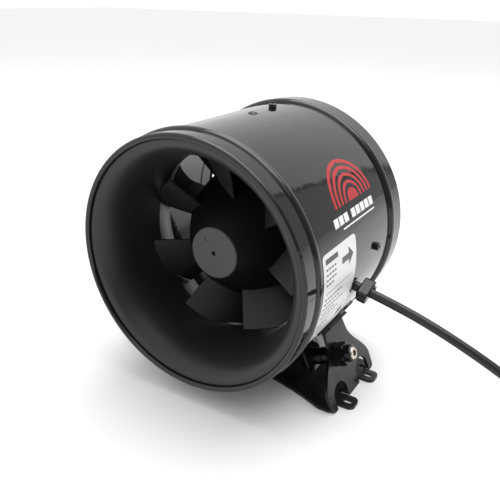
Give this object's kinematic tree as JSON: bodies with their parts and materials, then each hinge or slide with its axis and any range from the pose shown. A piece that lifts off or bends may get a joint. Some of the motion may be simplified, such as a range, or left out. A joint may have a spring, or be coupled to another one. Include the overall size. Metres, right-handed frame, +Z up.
{
  "type": "inline duct fan",
  "caption": "Mixed-flow inline duct fan in a beaded steel casing with a bell-mouth inlet, standing on a sheet-steel foot bracket, with its mains lead and plug.",
  "frame": {"origin": "on the standing surface, under the middle of the fan, at the centre of the four foot slots", "axes": "+Z up, +Y along the air flow from inlet to outlet, +X to the side of the cable gland"},
  "size_m": [0.5675, 0.178, 0.2181],
  "materials": {
    "black_enamel": "gloss",
    "bracket_paint": "satin",
    "bell_plastic": "matte",
    "impeller_plastic": "matte",
    "vane_plastic": "matte",
    "nose_grey": "matte",
    "black_screw": "satin",
    "zinc": "zinc plated",
    "bearing_steel": "ground",
    "cast_aluminium": "machined",
    "ferrite": "sintered",
    "lamination": "stamped",
    "copper_wire": "enamelled",
    "board_green": "solder mask",
    "board_black": "moulded",
    "pad_rubber": "matte",
    "gland_plastic": "satin",
    "lead_jacket": "satin",
    "plug_plastic": "satin",
    "plug_metal": "nickel plated",
    "label_film": "satin film"
  },
  "bodies": {
    "fan": {"casing": "black_enamel", "inlet_bell": "bell_plastic", "bell_rivets": "black_screw", "bearing_front": "bearing_steel", "bearing_rear": "bearing_steel", "bearing_tube": "cast_aluminium", "stator_core": "lamination", "windings": "copper_wire", "motor_flange": "cast_aluminium", "motor_screws": "zinc", "vane_ring": "black_enamel", "guide_vanes": "vane_plastic", "motor_housing": "vane_plastic", "vane_screws": "black_screw", "tail_cover": "vane_plastic", "tail_screws": "black_screw", "control_board": "board_green", "board_parts": "board_black", "board_posts": "cast_aluminium", "bracket": "bracket_paint", "saddle_pads": "pad_rubber", "ear_lugs": "black_enamel", "ear_washers": "black_screw", "ear_nuts": "black_screw", "ear_collars": "black_screw", "ear_bolts": "zinc", "ear_spacers": "black_screw", "inner_nuts": "black_screw", "gland_body": "gland_plastic", "gland_locknut": "gland_plastic", "gland_jaw": "gland_plastic", "gland_screw": "zinc", "inner_lead": "lead_jacket", "mains_lead": "lead_jacket", "lead_coil": "lead_jacket", "coil_tie": "gland_plastic", "plug_body": "plug_plastic", "plug_pins": "plug_metal", "plug_contacts": "plug_metal", "rating_label": "label_film"},
    "rotor": {"impeller": "impeller_plastic", "impeller_blades": "impeller_plastic", "nose_cap": "nose_grey", "rotor_screws": "zinc", "rotor_can": "zinc", "magnet_ring": "ferrite", "shaft": "bearing_steel"}
  },
  "joints": [
    {"name": "impeller_spin", "type": "hinge", "parent": "fan", "child": "rotor", "pos_m": [0, -0.02, 0.115], "axis": [0, 1, 0], "continuous": true}
  ]
}
